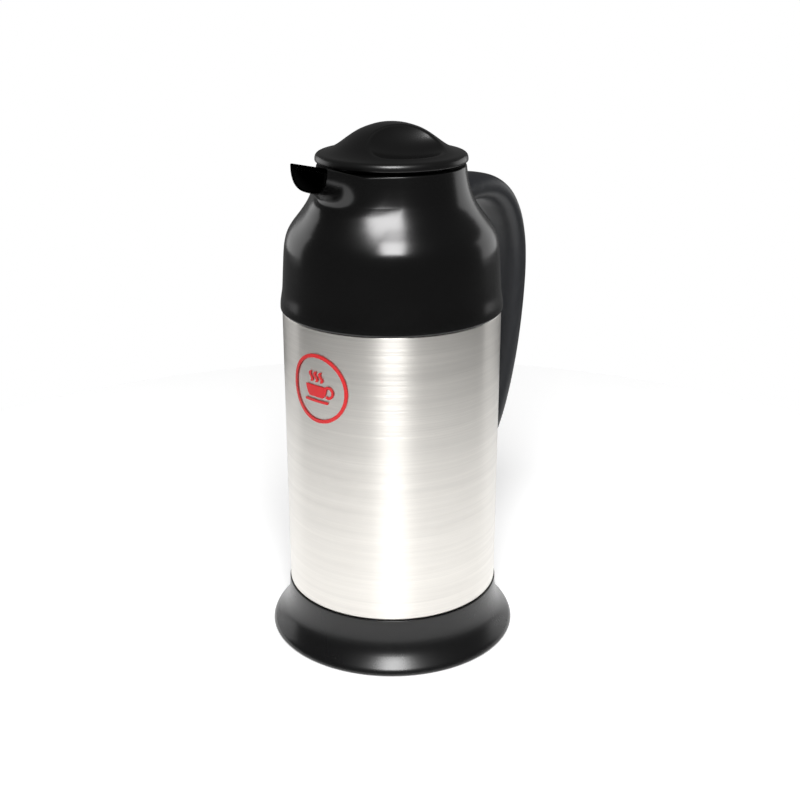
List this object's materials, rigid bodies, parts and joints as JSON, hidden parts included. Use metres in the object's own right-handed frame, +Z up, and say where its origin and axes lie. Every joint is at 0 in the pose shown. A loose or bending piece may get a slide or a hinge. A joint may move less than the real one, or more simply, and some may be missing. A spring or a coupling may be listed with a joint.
{
  "type": "vacuum coffee server",
  "caption": "Insulated coffee server with brushed steel double-wall body, black flared base, beaked shoulder, loop handle and twist-out stopper.",
  "frame": {"origin": "centre of the flat foot pad's underside, on the bottle's axis, in the plane the server stands on", "axes": "+Z up along the bottle's axis, -Y towards the pouring beak, +Y towards the handle, +X to the right of the beak seen from behind it"},
  "size_m": [0.1328, 0.1745, 0.2725],
  "materials": {
    "brushed_shell": "brushed round the body",
    "plain_steel": "satin",
    "zinc": "zinc plated",
    "shoulder_plastic": "satin moulded",
    "lid_plastic": "satin moulded",
    "stopper_plastic": "moulded",
    "base_plastic": "satin moulded",
    "grip_plastic": "fine grain",
    "rubber": "matte",
    "silicone": "translucent matte",
    "foam": "open foam",
    "label_red": "printed film"
  },
  "bodies": {
    "server": {"base_cup": "base_plastic", "bottom_cover": "base_plastic", "foot_pad": "rubber", "base_screw_1": "zinc", "base_screw_2": "zinc", "base_screw_3": "zinc", "outer_shell": "brushed_shell", "shell_bottom": "plain_steel", "vacuum_seal_cap": "plain_steel", "getter": "zinc", "inner_liner": "plain_steel", "neck_gasket": "silicone", "shoulder": "shoulder_plastic", "neck_collar": "stopper_plastic", "handle": "grip_plastic", "handle_bracket": "plain_steel", "handle_screw": "zinc", "badge": "label_red"},
    "stopper_core": {"stopper_seal": "silicone", "stopper_foam": "foam"},
    "stopper": {"lid_cover": "lid_plastic", "stopper_body": "stopper_plastic", "stopper_bottom_cap": "stopper_plastic", "lid_screw_1": "zinc", "lid_screw_2": "zinc", "lid_screw_3": "zinc"}
  },
  "joints": [
    {"name": "lid_rise", "type": "slide", "parent": "server", "child": "stopper_core", "axis": [0, 0, 1], "range_m": [0, 0.0721]},
    {"name": "lid_turn", "type": "hinge", "parent": "stopper_core", "child": "stopper", "pos_m": [0, 0, 0.241], "axis": [0, 0, 1], "range_deg": [0, 1080]}
  ],
  "couplings": [
    {"joint": "lid_rise", "follows": "lid_turn", "m_per_rad": 0.0038197}
  ]
}
